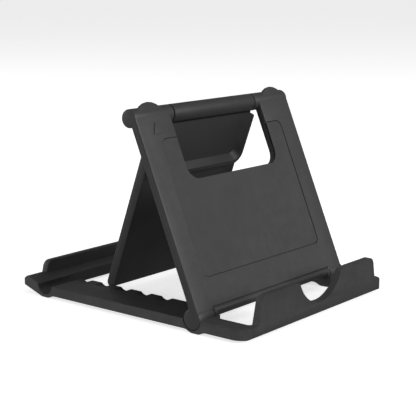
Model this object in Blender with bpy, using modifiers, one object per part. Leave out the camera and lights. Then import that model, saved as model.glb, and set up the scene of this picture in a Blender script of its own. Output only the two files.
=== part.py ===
"""Folding phone stand: a base frame, a hinged backrest and a prop leg that folds flat.

Metres, +Z up. The front of the stand faces -Y, and the origin is the bottom centre of the base.
Rest is the opened stand: the backrest leans back and the prop leg's foot stands over a rail notch.
"""
import math

import bmesh
import bpy
from mathutils import Matrix, Vector

MM = 0.001

# Driving dimensions, in millimetres
WIDTH = 77.0                # across the stand, along X
LENGTH = 92.2               # of the base, along Y
HINGE_Y = -26.45            # lower hinge axis
HINGE_Z = 4.05
REACH = 62.0                # lower hinge axis to upper hinge axis, and to the rear cradle
LEAN = 22.8                 # backrest from upright, degrees
PROP_LEAN = 20.0            # prop leg from upright, degrees
GAP = 0.3                   # between neighbouring pieces

# Moulded sections
KNUCKLE_RADIUS = 3.0        # lower hinge
EAR_RADIUS = 2.85           # upper hinge
KNUCKLE_CRADLE = KNUCKLE_RADIUS + GAP
EAR_CRADLE = EAR_RADIUS + GAP
PANEL_FRONT = -2.7          # backrest panel faces, measured from the hinge plane
PANEL_REAR = 0.0
PROP_FRONT = 0.2            # prop leg faces, measured from its own hinge plane
PROP_REAR = 3.4
PIN_RADIUS = 0.75
BORE_RADIUS = PIN_RADIUS + GAP

# Base frame
HALF_WIDTH = WIDTH / 2
FRONT_Y = -LENGTH / 2
REAR_Y = LENGTH / 2
FRONT_CORNER = 5.0          # in plan
REAR_CORNER = 1.6
FRONT_ROUND = 1.1           # along the front's lower edge
CRADLE_Y = HINGE_Y + REACH
UNDERSIDE_Z = 0.9           # the rails stand this far off the table, on four feet
FRONT_FOOT_Y = -27.6
FOOT_FLAT = 1.0             # half the flat of a foot, along Y
FOOT_SPAN = 4.0             # half the whole foot, along Y
RAIL_TOP_Z = 3.95
SEAT_TOP_Z = 4.3
STEP_TOP_Z = SEAT_TOP_Z + 0.03
LIP_TOP_Z = 12.9
LIP_THICKNESS = 2.5         # at its foot
LIP_TOP_THICKNESS = 2.1
LIP_HALF_TOP = 30.8
LIP_HALF_BOTTOM = 31.9
LIP_CORNER = 2.6
NOTCH_RADIUS = 12.05        # the cable notch in the front lip
NOTCH_FLOOR_Z = 4.75
NOTCH_ROUND = 1.0           # where the notch meets the lip's top
REAR_LIP_TOP_Z = 9.55
REAR_LIP_FRONT_Y = 42.4
REAR_LIP_REAR_Y = 44.8
FLARE_TOP_Y = 43.4
FLARE_TOP_Z = 6.0
FLARE_TIP_Z = 3.8
OPENING_HALF = 24.1         # the well between the rails
SLOT_HALF = 32.8            # the slot behind the front lip
SLOT_REAR_Y = HINGE_Y - KNUCKLE_CRADLE - 0.4
WELL_REAR_Y = CRADLE_Y + EAR_CRADLE + 0.15
THROAT_REAR_Y = -22.3       # the slot runs on under the cross-bar and into the well
BAR_RADIUS = 1.65           # the cross-bar between the knuckles
BAR_Y = HINGE_Y - 1.05
BAR_Z = 5.0
HUB_INNER = 29.7
HUB_OUTER = 31.0
TOOTH_PITCH = 8.7
TOOTH_COUNT = 5
TOOTH_FIRST_Y = -4.6
TOOTH_RADIUS = 3.1
TOOTH_DEPTH = 0.9
TOOTH_LENGTH = 3.6          # into the rail, along X

# Backrest
CUTOUT_RADIUS = 3.25        # relief round the cross-bar
WINDOW_HALF = 22.8
WINDOW_BOTTOM = 40.2
WINDOW_CORNER = 4.5
STUB_INNER = 20.7           # the ears' barrel stubs reach this far in
TAB_X = 31.0                # finger tabs on top of the ears
TAB_RADIUS = 7.1
TAB_Z = 58.8
TAB_THICKNESS = 1.4
TAB_SETBACK = 0.04          # behind the panel's front
RECESS_HALF = 30.6          # inlay on the backrest's front
RECESS_BOTTOM = 10.4
RECESS_TOP = 54.0
RECESS_CORNER = 2.4
RECESS_DEPTH = 0.85
PAD_THICKNESS = 0.55
ARROW_HALF = 1.7            # raised direction mark on one ear
ARROW_Z = 57.4
ARROW_HEIGHT = 0.25

# Prop leg
PROP_HALF = 23.8
BARREL_HALF = STUB_INNER - GAP
PROP_SHOULDER = 3.3         # below the upper hinge axis, where the full width starts
FOOT_RADIUS = (PROP_REAR - PROP_FRONT) / 2
FOOT_CENTRE = 60.9
TRAY_HALF = WINDOW_HALF - 0.4
TRAY_BOTTOM = REACH - WINDOW_BOTTOM - GAP
TRAY_FRONT = -2.6
TRAY_CORNER = 4.2
DISH_FLOOR = -0.5
DISH_RIM = 1.0              # width of the tray's rim at the front
DISH_SLOPE = 2.2            # how far the dish's walls run in
DISH_TOP = -3.0             # just under the barrel


def clear_scene():
    for item in list(bpy.data.objects):
        bpy.data.objects.remove(item, do_unlink=True)


def make_collection(name):
    collection = bpy.data.collections.new(name)
    bpy.context.scene.collection.children.link(collection)
    return collection


clear_scene()
PARTS = make_collection("phone_stand")
CUTTERS = make_collection("cutters")


def make_material(name, grey, roughness, metallic=0.0):
    material = bpy.data.materials.new(name)
    material.use_nodes = True
    shader = material.node_tree.nodes["Principled BSDF"]
    shader.inputs["Base Color"].default_value = (grey, grey, grey, 1)
    shader.inputs["Roughness"].default_value = roughness
    shader.inputs["Metallic"].default_value = metallic
    return material


# ---------------------------------------------------------------- outlines and solids

def arc(centre, radius, start, end, steps=12):
    """Points on an arc in the outline's plane, angles in degrees."""
    points = []
    for step in range(steps + 1):
        angle = math.radians(start + (end - start) * step / steps)
        points.append((centre[0] + radius * math.cos(angle), centre[1] + radius * math.sin(angle)))
    return points


def rounded_rectangle(x0, x1, y0, y1, low_radius, high_radius=None):
    """Outline with rounded corners, counter-clockwise; a radius of 0 keeps a corner sharp."""
    high_radius = low_radius if high_radius is None else high_radius
    corners = [(x1, y0, -1, 1, low_radius, -90), (x1, y1, -1, -1, high_radius, 0),
               (x0, y1, 1, -1, high_radius, 90), (x0, y0, 1, 1, low_radius, 180)]
    points = []
    for x, y, side, rise, radius, start in corners:
        if radius:
            centre = (x + side * radius, y + rise * radius)
            points += arc(centre, radius, start, start + 90, 8)
        else:
            points.append((x, y))
    return points


AXIS_FRAMES = {             # columns: where the outline's x, its y and the extrusion point
    "X": Matrix(((0, 0, 1), (1, 0, 0), (0, 1, 0))),
    "Y": Matrix(((1, 0, 0), (0, 0, -1), (0, 1, 0))),
    "Z": Matrix.Identity(3),
}


def link_mesh(name, mesh, collection=CUTTERS):
    item = bpy.data.objects.new(name, mesh)
    collection.objects.link(item)
    return item


def prism(name, outline, axis, low, high):
    """A flat outline, in millimetres, extruded along an axis from low to high."""
    body = bmesh.new()
    face = body.faces.new([body.verts.new((x, y, low)) for x, y in outline])
    swept = bmesh.ops.extrude_face_region(body, geom=[face], use_keep_orig=True)["geom"]
    bmesh.ops.translate(body, vec=(0, 0, high - low),
                        verts=[part for part in swept if isinstance(part, bmesh.types.BMVert)])
    bmesh.ops.transform(body, matrix=AXIS_FRAMES[axis].to_4x4() @ Matrix.Scale(MM, 4),
                        verts=body.verts)
    bmesh.ops.recalc_face_normals(body, faces=body.faces)
    mesh = bpy.data.meshes.new(name)
    body.to_mesh(mesh)
    body.free()
    return link_mesh(name, mesh)


def box(name, x0, x1, y0, y1, z0, z1):
    body = bmesh.new()
    bmesh.ops.create_cube(body, size=1)
    size = Vector((x1 - x0, y1 - y0, z1 - z0)) * MM
    centre = Vector((x0 + x1, y0 + y1, z0 + z1)) / 2 * MM
    bmesh.ops.transform(body, matrix=Matrix.Translation(centre) @ Matrix.Diagonal(size).to_4x4(),
                        verts=body.verts)
    mesh = bpy.data.meshes.new(name)
    body.to_mesh(mesh)
    body.free()
    return link_mesh(name, mesh)


def rod(name, radius, x0, x1, y=0.0, z=0.0, segments=48):
    """A cylinder along X."""
    body = bmesh.new()
    bmesh.ops.create_cone(body, cap_ends=True, segments=segments, radius1=radius * MM,
                          radius2=radius * MM, depth=(x1 - x0) * MM)
    turn = Matrix.Rotation(math.radians(90), 4, "Y")
    place = Matrix.Translation(Vector(((x0 + x1) / 2, y, z)) * MM)
    bmesh.ops.transform(body, matrix=place @ turn, verts=body.verts)
    mesh = bpy.data.meshes.new(name)
    body.to_mesh(mesh)
    body.free()
    return link_mesh(name, mesh)


def apply_modifiers(item):
    bpy.context.view_layer.update()
    evaluated = item.evaluated_get(bpy.context.evaluated_depsgraph_get())
    mesh = bpy.data.meshes.new_from_object(evaluated)
    item.modifiers.clear()
    item.data = mesh


def soften(item, width, segments=2, angle=50):
    """Round the sharp edges of a simple solid before it is joined or cut."""
    bevel = item.modifiers.new("soft_edges", "BEVEL")
    bevel.width = width * MM
    bevel.segments = segments
    bevel.limit_method = "ANGLE"
    bevel.angle_limit = math.radians(angle)
    apply_modifiers(item)
    return item


def combine(item, operation, tools):
    """Join solids to an item or cut them from it, one exact Boolean at a time."""
    for tool in tools:
        step = item.modifiers.new(operation.lower(), "BOOLEAN")
        step.operation = operation
        step.solver = "EXACT"
        step.object = tool
        apply_modifiers(item)
        bpy.data.objects.remove(tool, do_unlink=True)
    return item


def both_sides(make, x0, x1):
    """The same solid on the left and on the right."""
    return [make("left", -x1, -x0), make("right", x0, x1)]


def finish(item, name, material, parent=None):
    """Name a finished solid, move it to the parts and hang it on its joint's empty."""
    item.name = name
    item.data.name = name
    CUTTERS.objects.unlink(item)
    PARTS.objects.link(item)
    item.data.materials.clear()
    item.data.materials.append(material)
    for face in item.data.polygons:
        face.use_smooth = False
    item.parent = parent
    return item


# ---------------------------------------------------------------- base frame

def foot_outline(centre_y):
    """The underside round a foot: a flat that bears on the table, blended into the rail."""
    points = []
    for step in range(17):
        offset = -FOOT_SPAN + 2 * FOOT_SPAN * step / 16
        run = max(abs(offset) - FOOT_FLAT, 0) / (FOOT_SPAN - FOOT_FLAT)
        points.append((centre_y + offset, UNDERSIDE_Z * (0.5 - 0.5 * math.cos(math.pi * run))))
    return points


def side_profile():
    """The base seen from its side: front lip, seat, rail, rear cradle and flared end."""
    drop = math.degrees(math.asin((HINGE_Z - RAIL_TOP_Z) / EAR_CRADLE))
    outline = arc((FRONT_Y + FRONT_ROUND, UNDERSIDE_Z + FRONT_ROUND), FRONT_ROUND, 180, 270, 6)
    outline += foot_outline(FRONT_FOOT_Y)
    outline += [point for point in foot_outline(CRADLE_Y) if point[0] < CRADLE_Y + 2.2]
    outline += arc((REAR_Y - 1.0, FLARE_TIP_Z), 1.0, -65, 40, 6)
    outline += [(FLARE_TOP_Y + 0.5, FLARE_TOP_Z - 0.15), (FLARE_TOP_Y, FLARE_TOP_Z)]
    outline += [(CRADLE_Y + EAR_CRADLE + 0.5, HINGE_Z + 0.35)]
    outline += arc((CRADLE_Y, HINGE_Z), EAR_CRADLE, 0, -180 + drop, 20)
    outline += [(HINGE_Y + 1, RAIL_TOP_Z), (HINGE_Y - 1, SEAT_TOP_Z)]
    outline += [(FRONT_Y + LIP_THICKNESS, SEAT_TOP_Z), (FRONT_Y + LIP_TOP_THICKNESS, LIP_TOP_Z),
                (FRONT_Y, LIP_TOP_Z)]
    return outline


def lip_outline(bottom, top):
    """A lip seen from the front: sides that taper in and round top corners."""
    right = [(LIP_HALF_BOTTOM, bottom)]
    right += arc((LIP_HALF_TOP - LIP_CORNER, top - LIP_CORNER), LIP_CORNER, 4, 90, 8)
    return right + [(-x, z) for x, z in reversed(right)]


def lip_cutters():
    """What is taken off a full-width wall to leave the front lip and its cable notch."""
    shoulder = [(LIP_HALF_BOTTOM, STEP_TOP_Z), (HALF_WIDTH + 1, STEP_TOP_Z),
                (HALF_WIDTH + 1, LIP_TOP_Z + 1), (LIP_HALF_TOP - LIP_CORNER, LIP_TOP_Z + 1)]
    shoulder += arc((LIP_HALF_TOP - LIP_CORNER, LIP_TOP_Z - LIP_CORNER), LIP_CORNER, 88, 4, 8)
    centre_z = NOTCH_FLOOR_Z + NOTCH_RADIUS
    rise = centre_z - LIP_TOP_Z + NOTCH_ROUND
    round_x = math.sqrt((NOTCH_RADIUS + NOTCH_ROUND) ** 2 - rise ** 2)
    edge = math.degrees(math.atan2(rise, round_x))
    half = arc((round_x, LIP_TOP_Z - NOTCH_ROUND), NOTCH_ROUND, 88, 177 - edge, 5)
    notch = [(round_x, LIP_TOP_Z + 1)] + half
    notch += arc((0, centre_z), NOTCH_RADIUS, -edge - 1, -179 + edge, 30)
    notch += [(-x, z) for x, z in reversed(half)] + [(-round_x, LIP_TOP_Z + 1)]
    outlines = [shoulder, [(-x, z) for x, z in shoulder], notch]
    return [prism("lip_cutter", outline, "Y", -FRONT_Y - LIP_THICKNESS - 0.6, -FRONT_Y + 1)
            for outline in outlines]


def rail_teeth():
    """Rounded notches in the rails' inner edges, where the prop leg's foot is set."""
    teeth = []
    for index in range(TOOTH_COUNT):
        y = TOOTH_FIRST_Y + index * TOOTH_PITCH
        z = RAIL_TOP_Z - TOOTH_DEPTH + TOOTH_RADIUS
        for x0, x1 in ((-OPENING_HALF - TOOTH_LENGTH, -OPENING_HALF + 1),
                       (OPENING_HALF - 1, OPENING_HALF + TOOTH_LENGTH)):
            teeth.append(rod("tooth", TOOTH_RADIUS, x0, x1, y, z, 32))
    return teeth


def corner_cutters():
    """What is taken off the base's four upright corners to round them in plan."""
    cutters = []
    for side in (-1, 1):
        for end, radius in ((-1, FRONT_CORNER), (1, REAR_CORNER)):
            curve = [(side * (HALF_WIDTH - radius + x), end * (LENGTH / 2 - radius + y))
                     for x, y in arc((0, 0), radius + 0.02, 0, 90, 10)]
            outside = [(side * (HALF_WIDTH - radius), end * (LENGTH / 2 + 1)),
                       (side * (HALF_WIDTH + 1), end * (LENGTH / 2 + 1)),
                       (side * (HALF_WIDTH + 1), end * (LENGTH / 2 - radius))]
            cutters.append(prism("corner", curve + outside, "Z", -1, 20))
    return cutters


def build_base_frame(material):
    frame = prism("base_frame", side_profile(), "X", -HALF_WIDTH, HALF_WIDTH)
    rear_wall = prism("rear_wall", lip_outline(FLARE_TIP_Z - 0.6, REAR_LIP_TOP_Z), "Y",
                      -REAR_LIP_REAR_Y, -REAR_LIP_FRONT_Y)
    slot = prism("slot", rounded_rectangle(-SLOT_HALF, SLOT_HALF, FRONT_Y + LIP_THICKNESS + 0.1,
                                           SLOT_REAR_Y, 1.0, 3.2), "Z", -1, 20)
    throat = box("throat", -HUB_INNER, HUB_INNER, SLOT_REAR_Y - 1, THROAT_REAR_Y, -1, 20)
    well = box("well", -OPENING_HALF, OPENING_HALF, THROAT_REAR_Y - 1, WELL_REAR_Y, -1, 20)
    cradles = both_sides(lambda side, x0, x1: rod("cradle_" + side, KNUCKLE_CRADLE, x0, x1,
                                                  HINGE_Y, HINGE_Z, 64), HUB_OUTER, HALF_WIDTH + 1)
    combine(frame, "DIFFERENCE", corner_cutters() + lip_cutters() + [slot, throat, well]
            + cradles)
    hubs = both_sides(lambda side, x0, x1: rod("hub_" + side, KNUCKLE_RADIUS, x0, x1,
                                               HINGE_Y, HINGE_Z), HUB_INNER - 0.02, HUB_OUTER - 0.02)
    bar = rod("bar", BAR_RADIUS, -HUB_OUTER + 0.4, HUB_OUTER - 0.4, BAR_Y, BAR_Z, 40)
    combine(frame, "UNION", [soften(rear_wall, 0.5)] + hubs + [bar])
    bores = both_sides(lambda side, x0, x1: rod("bore_" + side, BORE_RADIUS, x0, x1,
                                                HINGE_Y, HINGE_Z, 24), HUB_INNER + 0.5, HUB_OUTER + 1)
    combine(frame, "DIFFERENCE", rail_teeth() + bores)
    return finish(frame, "base_frame", material)


# ---------------------------------------------------------------- backrest, upright in its own frame

def panel_outline():
    """The panel seen from the front, with its open-topped window."""
    window = rounded_rectangle(-WINDOW_HALF, WINDOW_HALF, WINDOW_BOTTOM, REACH, WINDOW_CORNER, 0)
    lower_right = window[:9]
    lower_left = window[-9:]
    outline = [(-HALF_WIDTH, 0), (HALF_WIDTH, 0), (HALF_WIDTH, REACH), (WINDOW_HALF, REACH)]
    outline += list(reversed(lower_right)) + list(reversed(lower_left))
    outline += [(-WINDOW_HALF, REACH), (-HALF_WIDTH, REACH)]
    return outline


def pad_outline():
    """The inlay seen from the front: a rectangle that leaves the window free."""
    half = RECESS_HALF - GAP
    bottom = RECESS_BOTTOM + GAP
    top = RECESS_TOP - GAP
    inner = WINDOW_HALF + GAP
    sill = WINDOW_BOTTOM - GAP
    frame = rounded_rectangle(-half, half, bottom, top, RECESS_CORNER - GAP)
    cut = rounded_rectangle(-inner, inner, sill, top, WINDOW_CORNER + GAP, 0)
    right = frame[:18]
    left = frame[18:]
    return right + [(inner, top)] + list(reversed(cut[:9])) + list(reversed(cut[-9:])) \
        + [(-inner, top)] + left


def build_backrest(material, joint):
    panel = soften(prism("backrest", panel_outline(), "Y", -PANEL_REAR, -PANEL_FRONT), 0.45)
    knuckles = both_sides(lambda side, x0, x1: soften(rod("knuckle_" + side, KNUCKLE_RADIUS, x0, x1),
                                                      0.4), HUB_OUTER + GAP, HALF_WIDTH)
    ears = both_sides(lambda side, x0, x1: soften(rod("ear_" + side, EAR_RADIUS, x0, x1, 0, REACH),
                                                  0.4), STUB_INNER, HALF_WIDTH)
    tabs = []
    for x in (-TAB_X, TAB_X):
        tab = prism("tab", arc((x, TAB_Z), TAB_RADIUS, 0, 345, 23), "Y",
                    -PANEL_FRONT - TAB_THICKNESS, -PANEL_FRONT - TAB_SETBACK)
        tabs.append(soften(tab, 0.4))
    relief = rod("relief", CUTOUT_RADIUS, -HUB_OUTER, HUB_OUTER)
    gap_below = box("gap_below", -HUB_OUTER, HUB_OUTER, -5, 5, -5, 0.9)
    combine(panel, "DIFFERENCE", [relief, gap_below])
    combine(panel, "UNION", knuckles + ears + tabs)
    recess = prism("recess", rounded_rectangle(-RECESS_HALF, RECESS_HALF, RECESS_BOTTOM, RECESS_TOP,
                                               RECESS_CORNER), "Y",
                   -PANEL_FRONT - RECESS_DEPTH, -PANEL_FRONT + 1)
    bores = both_sides(lambda side, x0, x1: rod("low_bore_" + side, BORE_RADIUS, x0, x1, 0, 0, 24),
                       HUB_OUTER, HALF_WIDTH - 1.7)
    bores += both_sides(lambda side, x0, x1: rod("top_bore_" + side, BORE_RADIUS, x0, x1, 0, REACH, 24),
                        STUB_INNER - 1, 28.3)
    combine(panel, "DIFFERENCE", [recess] + bores)
    arrow = prism("arrow", [(-TAB_X - ARROW_HALF, ARROW_Z - ARROW_HALF),
                            (-TAB_X + ARROW_HALF, ARROW_Z - ARROW_HALF),
                            (-TAB_X, ARROW_Z + ARROW_HALF)], "Y",
                  -PANEL_FRONT - 0.5, -PANEL_FRONT + ARROW_HEIGHT)
    combine(panel, "UNION", [arrow])
    return finish(panel, "backrest", material, joint)


def build_back_pad(material, joint):
    front = -PANEL_FRONT
    pad = prism("back_pad", pad_outline(), "Y", front - RECESS_DEPTH + GAP,
                front - RECESS_DEPTH + GAP + PAD_THICKNESS)
    return finish(pad, "back_pad", material, joint)


# ---------------------------------------------------------------- prop leg, hanging straight down

def dish_cutter():
    """The tray's dish: walls that slope in from a rim to a smaller floor."""
    body = bmesh.new()
    levels = ((TRAY_FRONT - 0.5, 0.0), (DISH_FLOOR, DISH_SLOPE))
    rings = []
    for y, inset in levels:
        half = TRAY_HALF - DISH_RIM - inset
        bottom = -TRAY_BOTTOM + DISH_RIM + inset
        radius = max(TRAY_CORNER - DISH_RIM - inset * 0.5, 1.0)
        outline = rounded_rectangle(-half, half, bottom, DISH_TOP, radius, 0)
        rings.append([body.verts.new((x * MM, y * MM, z * MM)) for x, z in outline])
    outer, inner = rings
    for index in range(len(outer)):
        follow = (index + 1) % len(outer)
        body.faces.new((outer[index], outer[follow], inner[follow], inner[index]))
    body.faces.new(outer)
    body.faces.new(inner)
    bmesh.ops.recalc_face_normals(body, faces=body.faces)
    mesh = bpy.data.meshes.new("dish")
    body.to_mesh(mesh)
    body.free()
    return link_mesh("dish", mesh)


def build_prop_leg(material, joint):
    foot_y = (PROP_FRONT + PROP_REAR) / 2
    side = arc((foot_y, -FOOT_CENTRE), FOOT_RADIUS, 180, 360, 14)
    side += [(PROP_REAR, -PROP_SHOULDER - 1), (PROP_REAR - 1, 0), (PROP_FRONT, 0)]
    leg = soften(prism("prop_leg", side, "X", -PROP_HALF, PROP_HALF), 0.35)
    shoulders = both_sides(lambda side, x0, x1: box("shoulder_" + side, x0, x1, -1, 5,
                                                    -PROP_SHOULDER, 1), BARREL_HALF - 0.2,
                           PROP_HALF + 1)
    combine(leg, "DIFFERENCE", shoulders)
    barrel = rod("barrel", EAR_RADIUS, -BARREL_HALF, BARREL_HALF)
    tray = prism("tray", rounded_rectangle(-TRAY_HALF, TRAY_HALF, -TRAY_BOTTOM,
                                           -PROP_SHOULDER - 0.1, TRAY_CORNER, 0.8), "Y",
                 -PROP_FRONT - 1.0, -TRAY_FRONT)
    combine(leg, "UNION", [soften(tray, 0.3), soften(barrel, 0.3)])
    bores = both_sides(lambda side, x0, x1: rod("bore_" + side, BORE_RADIUS, x0, x1, 0, 0, 24),
                       14.7, BARREL_HALF + 1)
    combine(leg, "DIFFERENCE", [dish_cutter()] + bores)
    return finish(leg, "prop_leg", material, joint)


# ---------------------------------------------------------------- hinge pins

def build_pin(name, material, x0, x1, joint=None, y=0.0, z=0.0):
    pin = soften(rod(name, PIN_RADIUS, x0, x1, y, z, 24), 0.2, 1)
    return finish(pin, name, material, joint)


def make_joint(name, y, z, lean, parent=None):
    """An empty on a hinge axis, turned to its rest angle about X."""
    empty = bpy.data.objects.new(name, None)
    PARTS.objects.link(empty)
    empty.empty_display_size = 0.01
    empty.location = Vector((0, y, z)) * MM
    empty.rotation_euler = (math.radians(lean), 0, 0)
    empty.parent = parent
    return empty


def build():
    charcoal = make_material("charcoal_abs", 0.045, 0.48)
    leg_charcoal = make_material("charcoal_abs_leg", 0.042, 0.5)
    frame_charcoal = make_material("charcoal_abs_base", 0.043, 0.5)
    rubber = make_material("soft_pad", 0.04, 0.7)
    steel = make_material("pin_steel", 0.55, 0.3, 1.0)
    lower_hinge = make_joint("lower_hinge", HINGE_Y, HINGE_Z, -LEAN)
    upper_hinge = make_joint("upper_hinge", 0, REACH, LEAN + PROP_LEAN, lower_hinge)
    build_base_frame(frame_charcoal)
    build_backrest(charcoal, lower_hinge)
    build_back_pad(rubber, lower_hinge)
    build_prop_leg(leg_charcoal, upper_hinge)
    build_pin("lower_pin_left", steel, -36.5, -30.4, None, HINGE_Y, HINGE_Z)
    build_pin("lower_pin_right", steel, 30.4, 36.5, None, HINGE_Y, HINGE_Z)
    build_pin("upper_pin_left", steel, -28.0, -15.0, lower_hinge, 0, REACH)
    build_pin("upper_pin_right", steel, 15.0, 28.0, lower_hinge, 0, REACH)
    bpy.context.view_layer.update()


build()
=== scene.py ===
"""Visual model of a folding phone stand: moulded charcoal plastic on a white studio floor."""
import math

import bmesh
import bpy
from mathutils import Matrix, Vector


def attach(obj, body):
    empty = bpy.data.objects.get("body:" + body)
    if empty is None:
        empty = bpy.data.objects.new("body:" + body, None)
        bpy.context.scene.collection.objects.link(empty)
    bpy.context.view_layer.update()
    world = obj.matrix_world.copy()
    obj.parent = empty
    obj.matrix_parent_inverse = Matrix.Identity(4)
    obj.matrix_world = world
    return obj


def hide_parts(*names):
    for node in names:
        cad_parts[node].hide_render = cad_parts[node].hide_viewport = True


MM = 0.001

# Lower hinge: its centre, where its knuckles start, and the radii their rims lie between.
HINGE_Y = -26.45 * MM
HINGE_Z = 4.05 * MM
KNUCKLE_INNER_X = 31.2 * MM
KNUCKLE_RIM_MIN = 2.5 * MM
KNUCKLE_RIM_MAX = 3.05 * MM
KNUCKLE_GROWTH = 0.2  # in millimetres

# Outside of the base: the rails' outer upper edges, and the front corners beside the lip.
RAIL_SIDE_X = 38.4 * MM
RAIL_EDGE_Z = 3.3 * MM
FRONT_EDGE_Y = -41.0 * MM
LIP_END_X = 32.5 * MM

# Inlay of the backrest, in millimetres: how far it spreads and how far its face sinks.
PAD_SPREAD = 0.15
PAD_SINK = 0.12

# Mesh clean-up before the edges are rolled.
WELD_DISTANCE = 0.002 * MM
FLAT_ANGLE = math.radians(0.4)
ROLLED_ANGLE = math.radians(32)
SMOOTH_ANGLE = math.radians(40)

# Edge rolls in millimetres, and their segments.
BASE_ROLL = 0.3
BASE_OUTER_ROLL = 0.8
BASE_SEGMENTS = 4
BACKREST_ROLL = 0.25
PROP_ROLL = 0.3
PAD_ROLL = 0.08
PAD_SEGMENTS = 2

# Plastic.
PLASTIC_IOR = 1.46
BUMP_DEPTH = 0.00004
# Painted highlight on the edges: how strongly it shows, and how much paler than the base
# colour it goes.
EDGE_HIGHLIGHT_STRENGTH = 0.3
EDGE_HIGHLIGHT_GAIN = 2.1

# Studio.
FLOOR_HALF = 6.0
FLOOR_DROP = 0.00002
FLOOR_GLOW = 0.66
STAND_MIDDLE = (0, 0, 0.03)
WORLD_STRENGTH = 0.2

# Camera: azimuth, elevation, distance, the point it looks at, and its lens.
AZIMUTH = math.radians(51.08)
ELEVATION = math.radians(11.33)
DISTANCE = 0.351
AIM = Vector((-0.02167, -0.01904, 0.03385))
SENSOR_WIDTH = 36.0
FOCAL_LENGTH = 100.56
CLIP_START = 0.01

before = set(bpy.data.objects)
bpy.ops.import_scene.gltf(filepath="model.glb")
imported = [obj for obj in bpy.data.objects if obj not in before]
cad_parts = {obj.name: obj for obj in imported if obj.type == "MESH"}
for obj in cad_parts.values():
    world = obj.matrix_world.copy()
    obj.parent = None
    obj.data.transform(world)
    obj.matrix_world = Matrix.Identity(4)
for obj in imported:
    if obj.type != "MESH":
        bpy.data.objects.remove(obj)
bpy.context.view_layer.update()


# ---------------------------------------------------------------- materials

def new_material(name):
    """An empty node material: the material, its tree and its shader."""
    material = bpy.data.materials.new(name)
    material.use_nodes = True
    tree = material.node_tree
    return material, tree, tree.nodes["Principled BSDF"]


def node(tree, kind, **inputs):
    """A shader node with some of its inputs set; an underscore stands for a space."""
    made = tree.nodes.new(kind)
    for name, value in inputs.items():
        made.inputs[name.replace("_", " ")].default_value = value
    return made


def noise(tree, where, scale, **inputs):
    """A noise texture's value at a place."""
    made = node(tree, "ShaderNodeTexNoise", Scale=scale, **inputs)
    tree.links.new(where, made.inputs["Vector"])
    return made.outputs["Fac"]


def ramp(tree, source, stops):
    """A colour ramp on a value, made from pairs of position and grey."""
    made = tree.nodes.new("ShaderNodeValToRGB")
    elements = made.color_ramp.elements
    while len(elements) < len(stops):
        elements.new(0.5)
    for element, (position, grey) in zip(elements, stops):
        element.position = position
        element.color = (grey, grey, grey, 1)
    tree.links.new(source, made.inputs["Fac"])
    return made.outputs["Color"]


def colour_mix(tree, blend_type="MIX"):
    """A colour mix's result and its three inputs: factor, first colour and second colour."""
    made = tree.nodes.new("ShaderNodeMix")
    made.data_type = "RGBA"
    made.blend_type = blend_type
    return made.outputs[2], made.inputs[0], made.inputs[6], made.inputs[7]


def product(tree):
    """A product's result and its two inputs."""
    made = tree.nodes.new("ShaderNodeMath")
    made.operation = "MULTIPLY"
    return made.outputs[0], made.inputs[0], made.inputs[1]


def moulded_plastic(name, base, roughness, grain=0.6, seed=0.0):
    """Charcoal plastic with spark texture, soft flow tone, and a painted highlight that
    lightens its edges in patches.
    """
    material, tree, shader = new_material(name)
    link = tree.links.new
    place = tree.nodes.new("ShaderNodeTexCoord")
    shift = node(tree, "ShaderNodeMapping", Location=(seed, seed * 0.7, -seed))
    link(place.outputs["Object"], shift.inputs["Vector"])
    where = shift.outputs["Vector"]

    tone = ramp(tree, noise(tree, where, 42.0, Detail=4.0, Roughness=0.55),
                [(0.3, 0.93), (0.7, 1.07)])
    fleck = ramp(tree, noise(tree, where, 2600.0, Detail=2.0, Roughness=0.6),
                 [(0.35, 0.94), (0.68, 1.08)])
    shade, factor, first, second = colour_mix(tree, "MULTIPLY")
    factor.default_value = 1.0
    link(tone, first)
    link(fleck, second)
    tinted, factor, first, second = colour_mix(tree, "MULTIPLY")
    factor.default_value = 1.0
    link(shade, first)
    second.default_value = (*base, 1)

    # Painted highlight: convex edges, broken into patches by noise, are mixed towards a paler
    # grey.
    pointiness = tree.nodes.new("ShaderNodeNewGeometry").outputs["Pointiness"]
    edge = ramp(tree, pointiness, [(0.5, 0.0), (0.56, 1.0)])
    patchy = ramp(tree, noise(tree, where, 230.0, Detail=5.0, Roughness=0.7),
                  [(0.4, 0.25), (0.62, 1.0)])
    highlight_mask, first, second = product(tree)
    link(edge, first)
    link(patchy, second)
    painted_edge_highlight, first, second = product(tree)
    link(highlight_mask, first)
    second.default_value = EDGE_HIGHLIGHT_STRENGTH
    edge_highlit, factor, first, second = colour_mix(tree)
    link(painted_edge_highlight, factor)
    link(tinted, first)
    second.default_value = tuple(min(1.0, EDGE_HIGHLIGHT_GAIN * c) for c in base) + (1,)
    link(edge_highlit, shader.inputs["Base Color"])

    gloss = tree.nodes.new("ShaderNodeMapRange")
    gloss.inputs["From Min"].default_value = 0.3
    gloss.inputs["From Max"].default_value = 0.7
    gloss.inputs["To Min"].default_value = roughness - 0.05
    gloss.inputs["To Max"].default_value = roughness + 0.06
    link(noise(tree, where, 85.0, Detail=3.0, Roughness=0.5), gloss.inputs["Value"])
    link(gloss.outputs["Result"], shader.inputs["Roughness"])

    bump = node(tree, "ShaderNodeBump", Strength=grain, Distance=BUMP_DEPTH)
    link(noise(tree, where, 3800.0, Detail=3.0, Roughness=0.65), bump.inputs["Height"])
    link(bump.outputs["Normal"], shader.inputs["Normal"])
    shader.inputs["IOR"].default_value = PLASTIC_IOR
    return material


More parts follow.
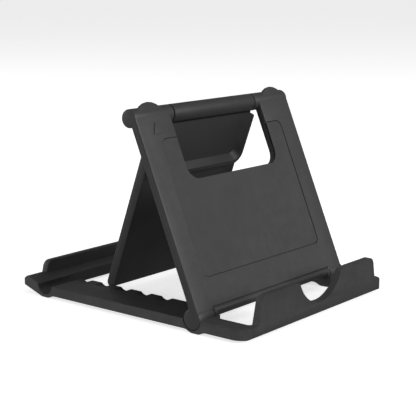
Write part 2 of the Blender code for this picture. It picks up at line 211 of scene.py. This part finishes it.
def drawn_steel(name):
    """Pin steel with fine rings from drawing and a mottled oil film."""
    material, tree, shader = new_material(name)
    place = tree.nodes.new("ShaderNodeTexCoord")
    stretch = node(tree, "ShaderNodeMapping", Scale=(6.0, 1.0, 1.0))
    tree.links.new(place.outputs["Object"], stretch.inputs["Vector"])
    lines = noise(tree, stretch.outputs["Vector"], 900.0, Detail=4.0)
    tree.links.new(ramp(tree, lines, [(0.3, 0.42), (0.7, 0.6)]), shader.inputs["Base Color"])
    tree.links.new(ramp(tree, lines, [(0.3, 0.24), (0.7, 0.42)]), shader.inputs["Roughness"])
    shader.inputs["Metallic"].default_value = 1.0
    return material


# ---------------------------------------------------------------- moulded pieces

def outer_edge(edge, vertices):
    """Whether an edge of the base runs round its outside, where the mould rolls it wider."""
    middle = (vertices[edge.vertices[0]].co + vertices[edge.vertices[1]].co) / 2
    side = abs(middle.x) > RAIL_SIDE_X and middle.z > RAIL_EDGE_Z
    front = middle.y < FRONT_EDGE_Y and abs(middle.x) > LIP_END_X
    return side or front


def spread_pad(shape):
    """Ease the inlay out to a hairline round its recess, a little below the face around it."""
    facing = max(shape.faces, key=lambda face: face.calc_area() * -face.normal.y).normal.copy()
    shifts = []
    for vertex in shape.verts:
        aside = vertex.normal - vertex.normal.dot(facing) * facing
        sink = facing * (-PAD_SINK if vertex.normal.dot(facing) > 0 else 0.0)
        shifts.append((aside.normalized() * PAD_SPREAD + sink) * MM)
    for vertex, shift in zip(shape.verts, shifts):
        vertex.co += shift


def fill_knuckles(shape):
    """Bring the lower knuckles close to the cradles they turn in."""
    for vertex in shape.verts:
        arm = Vector((0, vertex.co.y - HINGE_Y, vertex.co.z - HINGE_Z))
        on_rim = KNUCKLE_RIM_MIN < arm.length < KNUCKLE_RIM_MAX
        if abs(vertex.co.x) > KNUCKLE_INNER_X and on_rim:
            vertex.co += arm.normalized() * KNUCKLE_GROWTH * MM


def roll_edges(piece, sharp, radius, segments, wide):
    """Bevel the sharp edges, the outer ones wider where a wide roll is given."""
    mesh = piece.data
    weights = mesh.attributes.new("bevel_weight_edge", "FLOAT", "EDGE")
    for index in sharp:
        outside = wide and outer_edge(mesh.edges[index], mesh.vertices)
        weights.data[index].value = 1.0 if outside or not wide else radius / wide
    bevel = piece.modifiers.new("edges", "BEVEL")
    bevel.width = (wide or radius) * MM
    bevel.segments = segments
    bevel.limit_method = "WEIGHT"
    bevel.use_clamp_overlap = True


def moulding(name, source, body, material, radius, segments=3, wide=None, reshape=None):
    """A CAD node's shape with its edges rolled over as a mould leaves them."""
    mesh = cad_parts[source].data.copy()
    mesh.name = name
    shape = bmesh.new()
    shape.from_mesh(mesh)
    bmesh.ops.remove_doubles(shape, verts=shape.verts, dist=WELD_DISTANCE)
    if reshape:
        reshape(shape)
    bmesh.ops.dissolve_limit(shape, angle_limit=FLAT_ANGLE, verts=shape.verts,
                             edges=shape.edges)
    sharp = [edge.index for edge in shape.edges
             if edge.is_manifold and edge.calc_face_angle(0) > ROLLED_ANGLE]
    shape.to_mesh(mesh)
    shape.free()
    mesh.materials.clear()
    mesh.materials.append(material)
    piece = bpy.data.objects.new(name, mesh)
    bpy.context.scene.collection.objects.link(piece)
    roll_edges(piece, sharp, radius, segments, wide)
    for face in mesh.polygons:
        face.use_smooth = True
    mesh.set_sharp_from_angle(angle=SMOOTH_ANGLE)
    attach(piece, body)
    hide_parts(source)


# One plastic in three greys: the base copy is made lighter as painted light, and the leg copy
# darker as painted shade.
charcoal = moulded_plastic("charcoal_front", (0.034, 0.034, 0.035), 0.5)
charcoal_base_lit = moulded_plastic("charcoal_base_lit", (0.038, 0.038, 0.039), 0.5, seed=0.31)
charcoal_leg_shaded = moulded_plastic("charcoal_leg_shaded", (0.029, 0.029, 0.03), 0.52, seed=0.57)
pad = moulded_plastic("pad_skin", (0.033, 0.033, 0.034), 0.56, grain=0.8, seed=0.83)
steel = drawn_steel("pin_steel_drawn")

moulding("base_moulding", "base_frame", "base", charcoal_base_lit, BASE_ROLL,
         BASE_SEGMENTS, wide=BASE_OUTER_ROLL)
moulding("backrest_moulding", "backrest", "backrest", charcoal, BACKREST_ROLL,
         reshape=fill_knuckles)
moulding("prop_moulding", "prop_leg", "prop", charcoal_leg_shaded, PROP_ROLL)
moulding("back_pad_skin", "back_pad", "backrest", pad, PAD_ROLL, PAD_SEGMENTS,
         reshape=spread_pad)
for pin in ("lower_pin_left", "lower_pin_right", "upper_pin_left", "upper_pin_right"):
    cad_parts[pin].data.materials.clear()
    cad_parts[pin].data.materials.append(steel)


# ---------------------------------------------------------------- studio

def aimed(item, place, target):
    """Put a light or camera at a place, facing a target."""
    item.location = place
    item.rotation_euler = (Vector(target) - Vector(place)).to_track_quat("-Z", "Y").to_euler()
    bpy.context.scene.collection.objects.link(item)
    return item


def softbox(name, place, target, size, power):
    """A rectangular area light: sides in metres, power in watts."""
    light = bpy.data.lights.new(name, "AREA")
    light.shape = "RECTANGLE"
    light.size, light.size_y = size
    light.energy = power
    return aimed(bpy.data.objects.new(name, light), place, target)


def make_floor():
    """A white floor that glows a little and throws no light on the stand."""
    mesh = bpy.data.meshes.new("floor")
    shape = bmesh.new()
    bmesh.ops.create_grid(shape, x_segments=4, y_segments=4, size=FLOOR_HALF)
    shape.to_mesh(mesh)
    shape.free()
    floor = bpy.data.objects.new("floor", mesh)
    floor.location.z = -FLOOR_DROP
    bpy.context.scene.collection.objects.link(floor)
    material, _, shader = new_material("floor_white")
    shader.inputs["Base Color"].default_value = (0.9, 0.9, 0.9, 1)
    shader.inputs["Roughness"].default_value = 0.9
    shader.inputs["Specular IOR Level"].default_value = 0.0
    shader.inputs["Emission Color"].default_value = (1, 1, 1, 1)
    shader.inputs["Emission Strength"].default_value = FLOOR_GLOW
    mesh.materials.append(material)
    floor.visible_diffuse = False
    floor.visible_glossy = False


def make_camera():
    """The scene's camera, looking along its azimuth and down by its elevation."""
    level = math.cos(ELEVATION)
    view = Vector((math.sin(AZIMUTH) * level, math.cos(AZIMUTH) * level, -math.sin(ELEVATION)))
    lens = bpy.data.cameras.new("camera")
    lens.sensor_width = SENSOR_WIDTH
    lens.lens = FOCAL_LENGTH
    lens.clip_start = CLIP_START
    camera = aimed(bpy.data.objects.new("camera", lens), AIM - view * DISTANCE, AIM)
    bpy.context.scene.camera = camera


def make_world():
    """An even white surround."""
    world = bpy.data.worlds.new("studio")
    world.use_nodes = True
    background = world.node_tree.nodes["Background"]
    background.inputs["Color"].default_value = (1, 1, 1, 1)
    background.inputs["Strength"].default_value = WORLD_STRENGTH
    bpy.context.scene.world = world


make_camera()
make_floor()
softbox("key", (0.12, -0.95, 0.42), STAND_MIDDLE, (0.45, 0.4), 6.4)
softbox("fill", (0.75, -0.55, 0.35), STAND_MIDDLE, (0.6, 0.5), 0.7)
side_light = softbox("side", (-1.0, 0.08, 0.16), STAND_MIDDLE, (0.4, 0.3), 6.5)
side_light.visible_glossy = False  # so low that its reflection would glare along the rails
softbox("top", (0.1, -0.3, 1.0), (0, 0, 0), (0.8, 0.8), 1.2)
softbox("back", (-0.25, 1.0, 0.3), STAND_MIDDLE, (0.8, 0.5), 2.2)
make_world()
bpy.context.scene.view_settings.view_transform = "Standard"
